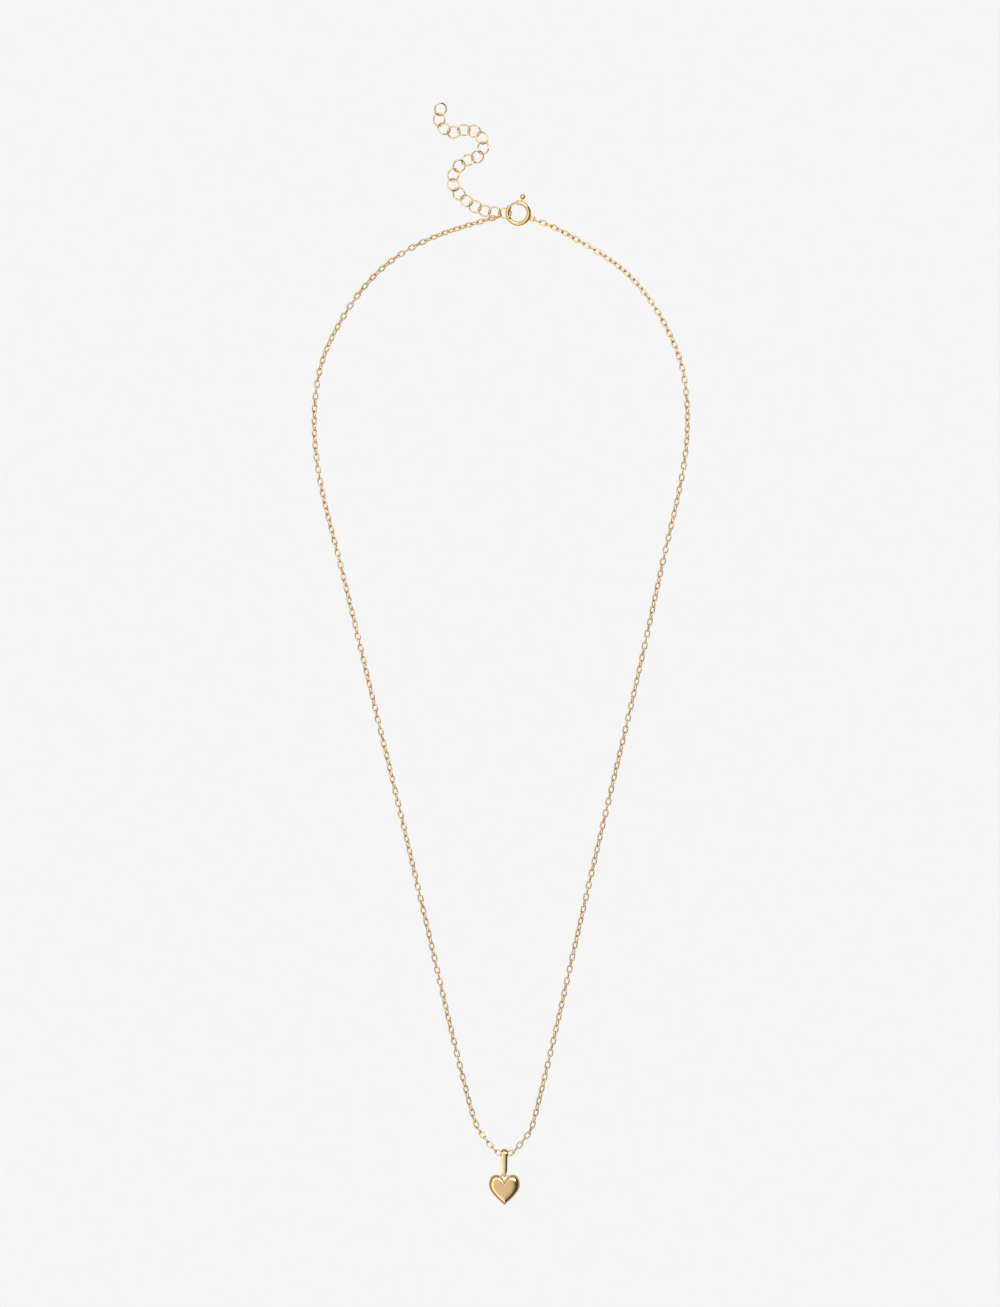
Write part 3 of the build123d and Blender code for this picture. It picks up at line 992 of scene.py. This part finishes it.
@dataclass
class TaperedBail:
    """The bail: a domed strip bent to a loop that narrows to its foot."""

    wardrobe: Wardrobe
    middle: Vector
    length: float = 5.6 * MM
    top_inner: float = 0.68 * MM
    foot_inner: float = 0.30 * MM
    top_wall: float = 0.38 * MM
    foot_wall: float = 0.30 * MM
    top_width: float = 1.26 * MM
    leg_width: float = 1.08 * MM
    foot_width: float = 0.56 * MM
    shoulder: float = 0.34 * MM
    crown: float = 0.5
    dome_power: float = 2.6
    back_half: float = 0.42
    rounding: float = 0.05 * MM
    across: int = 10
    top_steps: int = 28
    side_steps: int = 24
    foot_steps: int = 16

    def profile(self) -> list[Vector]:
        """The strip's section with unit wall and width: a flat back and a domed face."""
        points = []
        for k in range(self.across + 1):
            share = -1 + 2 * k / self.across
            dome = (1 - abs(share) ** self.dome_power) * self.crown + (1 - self.crown)
            points.append(Vector((share / 2, 0, dome)))
        points.append(Vector((self.back_half, 0, 0.0)))
        points.append(Vector((-self.back_half, 0, 0.0)))
        return points

    def build(self) -> None:
        """Build the bail and send it out."""
        top, foot = self.top_inner + self.top_wall, self.foot_inner + self.foot_wall
        span = self.length - top - foot
        shape = bmesh.new()
        slope = math.asin((self.top_inner - self.foot_inner) / span)
        unit = self.profile()
        corners = [bmesh.ops.create_vert(shape, co=point)["vert"][0] for point in unit]
        ring = list(zip(corners, corners[1:] + corners[:1]))
        edges = [shape.edges.new(pair) for pair in ring]
        # The section starts at the origin, and is sized and placed at each station.
        stations = self.stations(span, slope)
        loops = [edges]
        for _ in stations[1:]:
            _, loop = pull_loop(shape, loops[-1])
            loops.append(loop)
        for loop, (place, width, wall) in zip(loops, stations):
            verts = list({vert for edge in loop for vert in edge.verts})
            bmesh.ops.scale(shape, vec=(width, 1, wall), verts=verts)
            bmesh.ops.transform(shape, matrix=place, verts=verts)
        bmesh.ops.bridge_loops(shape, edges=loops[0] + loops[-1])
        close_up(shape)
        bmesh.ops.translate(shape, verts=shape.verts[:], vec=self.middle)
        piece = finish_mesh(shape, "bail_strip", 55)
        rounding = piece.modifiers.new("rounding", "BEVEL")
        rounding.width = self.rounding
        rounding.segments = 2
        rounding.limit_method = "ANGLE"
        rounding.angle_limit = math.radians(50)
        send_out(piece, "bail", Slot.PENDANT, self.wardrobe, ["bail"])

    def width_at(self, height: float, span: float) -> float:
        """The strip's width at a height above the foot's centre.

        Args:
            height: The height.
            span: Between the centres of the two bends.

        Returns:
            The width: narrow in the eye, and wider again from the shoulder up.
        """
        if height < self.shoulder:
            share = max(0.0, height / self.shoulder)
            return self.foot_width + (self.leg_width - self.foot_width) * share
        share = min(1.0, (height - self.shoulder) / (span - self.shoulder))
        return self.leg_width + (self.top_width - self.leg_width) * share

    def stations(self, span: float, slope: float) -> list[tuple[Matrix, float, float]]:
        """The section's places around the loop, with its width and wall at each.

        Args:
            span: Between the centres of the two bends.
            slope: How far each side leans in towards the foot, in radians.

        Returns:
            For each station, the section's matrix, its width and its wall.
        """
        found = []
        top_arc = math.pi + 2 * slope
        foot_arc = math.pi - 2 * slope

        def station(center_y: float, inner: float, turn: float) -> None:
            """Note the section at a turn about a centre on the bail's middle line."""
            share = min(1.0, max(0.0, -center_y / span))
            width = self.width_at(span + center_y + inner * math.cos(turn), span)
            wall = self.top_wall + (self.foot_wall - self.top_wall) * share
            centre = Matrix.Translation((0, center_y, 0))
            lean = Matrix.Rotation(-math.pi / 2, 4, "X") @ Matrix.Rotation(-turn, 4, "X")
            place = centre @ lean @ Matrix.Translation((0, 0, inner))
            found.append((place, width, wall))

        for k in range(self.top_steps + 1):
            station(0.0, self.top_inner, -top_arc / 2 + top_arc * k / self.top_steps)
        for k in range(1, self.side_steps):
            share = k / self.side_steps
            inner = self.top_inner + (self.foot_inner - self.top_inner) * share
            station(-span * share, inner, top_arc / 2)
        for k in range(self.foot_steps + 1):
            turn = math.pi / 2 + slope + foot_arc * k / self.foot_steps
            station(-span, self.foot_inner, turn)
        for k in range(1, self.side_steps):
            share = 1 - k / self.side_steps
            inner = self.top_inner + (self.foot_inner - self.top_inner) * share
            station(-span * share, inner, -top_arc / 2)
        return found


@dataclass
class PuffedHeart:
    """The puffed heart, and the eye that is let into its cleft."""

    wardrobe: Wardrobe
    lobe_top: Vector
    width: float = 6.2 * MM
    height: float = 6.1 * MM
    front: float = 1.5 * MM
    back: float = 1.2 * MM
    cleft: float = 1.55 * MM
    flank: float = 2.0 * MM
    core: float = 2.7 * MM
    lobe_fullness: float = 0.22
    flank_fullness: float = 0.26
    tip_fullness: float = 0.28
    eye_outer: float = 1.8 * MM
    eye_wire: float = 0.34 * MM
    eye_sink: float = 0.58 * MM
    per_side: int = 32
    bands: int = 11
    band_power: float = 0.55
    puff_reach: float = 5.5
    puff_power: float = 0.38
    eye_sides: int = 16
    eye_steps: int = 48

    def outline(self) -> list[Vector]:
        """The heart's outline about its core, from the cleft round the right lobe and back.

        Returns:
            Points in the heart's middle plane.
        """
        half = self.width / 2
        top = self.core
        tip = top - self.height
        lobe = top * (1 + self.lobe_fullness)
        flank = top - self.flank
        upper = (
            (0.0, top - self.cleft),
            (self.lobe_fullness * half, lobe),
            (half, lobe),
            (half, flank),
        )
        lower = (
            (half, flank),
            (half, flank - self.flank_fullness * self.height),
            (self.tip_fullness * half, tip * (1 - self.tip_fullness)),
            (0.0, tip),
        )
        right = []
        per_curve = self.per_side // 2
        for curve in (upper, lower):
            for k in range(per_curve):
                right.append(bezier_point(curve, k / per_curve))
        right.append(Vector((0, tip, 0)))
        left = [Vector((-point.x, point.y, 0)) for point in reversed(right[1:-1])]
        return right + left

    def build_heart(self) -> bpy.types.Object:
        """Build the heart: bands that shrink to its core, front and back.

        Returns:
            The heart.
        """
        shape = bmesh.new()
        outline = self.outline()
        made = bmesh.ops.create_circle(
            shape, cap_ends=False, radius=1.0, segments=len(outline)
        )
        for vert, point in zip(made["verts"], outline):
            vert.co = point
        rim = list({edge for vert in made["verts"] for edge in vert.link_edges})
        for swell in (self.front, -self.back):
            loop = rim
            before = 1.0
            for band in range(1, self.bands + 1):
                angle = math.pi / 2 * band / self.bands
                share = math.cos(angle) ** self.band_power if band < self.bands else 0.0
                lift = swell * (1 - share**self.puff_reach) ** self.puff_power
                fresh, loop = pull_loop(shape, loop)
                shrink = share / before
                bmesh.ops.scale(shape, vec=(shrink, shrink, 1), verts=fresh)
                for vert in fresh:
                    vert.co.z = lift
                before = share if share else before
        close_up(shape)
        core = self.lobe_top - Y_AXIS * self.core
        bmesh.ops.translate(shape, verts=shape.verts[:], vec=core)
        piece = finish_mesh(shape, "heart_puffed", 180)
        smooth = piece.modifiers.new("smooth", "SUBSURF")
        smooth.levels = smooth.render_levels = 1
        return piece

    def build_eye(self) -> bpy.types.Object:
        """Build the eye, a soldered ring of wire let into the cleft.

        Returns:
            The eye.
        """
        bend = (self.eye_outer - self.eye_wire) / 2
        shape = bmesh.new()
        start = section_place(Vector((bend, 0, 0)), X_AXIS, Z_AXIS)
        first = wire_circle(shape, start, self.eye_wire / 2, self.eye_sides)
        sweep(shape, first, Vector(), Z_AXIS, FULL_TURN, self.eye_steps)
        close_up(shape)
        spot = self.lobe_top - Y_AXIS * self.eye_sink
        bmesh.ops.translate(shape, verts=shape.verts[:], vec=spot)
        return finish_mesh(shape, "heart_eye_ring", 60)

    def build(self) -> None:
        """Build the heart and its eye and send them out."""
        send_out(self.build_heart(), "heart", Slot.PENDANT, self.wardrobe, ["heart"])
        send_out(self.build_eye(), "heart", Slot.PENDANT, self.wardrobe, ["heart_eye"])


def bezier_point(corners: Iterable[tuple[float, float]], share: float) -> Vector:
    """A point on a cubic curve.

    Args:
        corners: The curve's four control points.
        share: How far along, from 0 to 1.

    Returns:
        The point, in the XY plane.
    """
    rest = 1 - share
    weights = (rest**3, 3 * rest**2 * share, 3 * rest * share**2, share**3)
    total = Vector()
    for weight, (x, y) in zip(weights, corners):
        total += weight * Vector((x, y, 0))
    return total


# ---------------------------------------------------------------- studio


# The dome's colours as the metal mirrors them, from the horizon up to straight overhead.
DOME_COLOURS = (
    (0.0, (0.03, 0.02, 0.015)),
    (0.18, (0.04, 0.03, 0.02)),
    (0.30, (0.10, 0.08, 0.06)),
    (0.42, (1.30, 1.24, 1.14)),
    (0.70, (1.50, 1.44, 1.34)),
    (0.90, (0.86, 0.81, 0.76)),
    (1.0, (0.74, 0.71, 0.68)),
)


@dataclass
class Studio:
    """The pale sheet, the soft light around it and the camera straight above.

    The metal mirrors a dome with a dark horizon and a dark right side, and everything else is
    lit by an even white one.
    """

    wardrobe: Wardrobe
    sheet_size: float = 6.0
    sheet_drop: float = 0.17
    frame_width: float = 0.200
    frame_height: float = 0.2614
    view_middle: tuple[float, float] = (-0.00015, -0.00033)
    lens: float = 135.0
    sensor: float = 36.0
    dome_peak: float = 1.5
    dome_white: float = 0.997
    dark_side: tuple[float, float] = (0.02, 0.46)
    dark_side_light: float = 0.05
    softbox_spot: tuple[float, float, float] = (0.42, 0.46, 0.85)
    softbox_size: float = 0.80
    softbox_power: float = 4.4

    def lay_sheet(self) -> None:
        """Lay the sheet below the necklace, clear of every way that the chain can fold."""
        shape = bmesh.new()
        bmesh.ops.create_grid(shape, x_segments=4, y_segments=4, size=self.sheet_size / 2)
        bmesh.ops.translate(shape, verts=shape.verts[:], vec=(0, 0, -self.sheet_drop))
        sheet = finish_mesh(shape, "studio_sheet", 60)
        sheet.data.materials.append(self.wardrobe.material(PALE_SHEET))

    def light_dome(self) -> None:
        """Surround the necklace with soft light, dimmer overhead and dark near the horizon."""
        world = bpy.data.worlds.new("soft_dome")
        bpy.context.scene.world = world
        world.use_nodes = True
        graph = NodeGraph(world.node_tree)
        way = graph.add("TexCoord").outputs["Generated"]
        parts = graph.add("SeparateXYZ")
        graph.put(parts.inputs["Vector"], way)
        ramp = graph.add("ValToRGB")
        graph.put(ramp.inputs["Fac"], parts.outputs["Z"])
        scale = ramp.color_ramp
        while len(scale.elements) < len(DOME_COLOURS):
            scale.elements.new(0.5)
        for element, (spot, colour) in zip(scale.elements, DOME_COLOURS):
            element.position = spot
            element.color = (*(min(1.0, c / self.dome_peak) for c in colour), 1.0)
        dim = (1.0, self.dark_side_light)
        side = graph.between(parts.outputs["X"], *self.dark_side, dim)
        strength = graph.add("Math", operation="MULTIPLY")
        graph.put(strength.inputs[0], side)
        graph.put(strength.inputs[1], self.dome_peak)
        lit = graph.add("Background")
        graph.put(lit.inputs["Color"], ramp.outputs["Color"])
        graph.put(lit.inputs["Strength"], strength.outputs["Value"])
        seen = graph.add("Background")
        white = self.dome_white
        graph.put(seen.inputs["Color"], (white, white, white, 1.0))
        graph.put(seen.inputs["Strength"], 1.0)
        rays = graph.add("LightPath")
        chosen = graph.add("MixShader")
        graph.put(chosen.inputs["Fac"], rays.outputs["Is Glossy Ray"])
        graph.put(chosen.inputs[1], seen.outputs["Background"])
        graph.put(chosen.inputs[2], lit.outputs["Background"])
        output = graph.add("OutputWorld")
        graph.put(output.inputs["Surface"], chosen.outputs["Shader"])

    def add_softbox(self, name: str, spot: Vector, size: float, power: float) -> None:
        """Hang a round soft light that faces the necklace and shows in the metal alone.

        Args:
            name: The light's name.
            spot: Where it hangs.
            size: Its diameter.
            power: Its power in watts.
        """
        lamp = bpy.data.lights.new(name, "AREA")
        lamp.shape = "DISK"
        lamp.size = size
        lamp.energy = power
        box = bpy.data.objects.new(name, lamp)
        bpy.context.scene.collection.objects.link(box)
        box.location = spot
        box.rotation_euler = (-spot).to_track_quat("-Z", "Y").to_euler()
        box.visible_diffuse = False

    def set_camera(self) -> None:
        """Hang the camera straight above, with the heart at the bottom of the picture."""
        camera = bpy.data.cameras.new("camera_above")
        camera.lens = self.lens
        camera.sensor_width = self.sensor
        distance = self.frame_height * self.lens / self.sensor
        camera.clip_start = distance * 0.05
        camera.clip_end = distance * 20
        holder = bpy.data.objects.new("camera_above", camera)
        bpy.context.scene.collection.objects.link(holder)
        holder.location = (*self.view_middle, distance)
        bpy.context.scene.camera = holder

    def build(self) -> None:
        """Lay the sheet, light it and set the camera."""
        self.lay_sheet()
        self.light_dome()
        spot = Vector(self.softbox_spot)
        self.add_softbox("softbox_right", spot, self.softbox_size, self.softbox_power)
        self.set_camera()
        bpy.context.scene.view_settings.view_transform = "Standard"


# ---------------------------------------------------------------- assembly


def node_middle(node: str) -> Vector:
    """The middle of a node's box."""
    low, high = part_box(node)
    return (low + high) / 2


def clasp_centre() -> Vector:
    """The centre of the clasp's ring: midway along its box in X, and in from its low sides."""
    low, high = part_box("clasp_tube")
    tilt = SpringRing.tilt
    tube = SpringRing.tube / 2
    bend = (SpringRing.outer - SpringRing.tube) / 2
    return Vector((
        (low.x + high.x) / 2,
        low.y + tube + bend * math.cos(tilt),
        low.z + tube + bend * math.sin(tilt),
    ))


def bail_bend_centre() -> Vector:
    """The centre of the bail's top bend."""
    low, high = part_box("bail")
    centre = (low + high) / 2
    centre.y = high.y - TaperedBail.top_inner - TaperedBail.top_wall
    return centre


def main() -> None:
    """Build the necklace's sub-assemblies in order, then the studio."""
    logging.basicConfig(level=logging.INFO, format="%(name)s: %(message)s")
    wardrobe = Wardrobe()
    CableChain(OvalLink(), wardrobe).build()
    connector = OvalLink(length=2.0 * MM, width=1.24 * MM, sides=12, bend_steps=14)
    RingRun(ButtedRing(), connector, wardrobe).build()
    SpringRing(wardrobe, clasp_centre()).build()
    TaperedBail(wardrobe, bail_bend_centre()).build()
    lobe_top = node_middle("heart_eye") + Y_AXIS * PuffedHeart.eye_sink
    PuffedHeart(wardrobe, lobe_top).build()
    Studio(wardrobe).build()


if __name__ == "__main__":
    main()
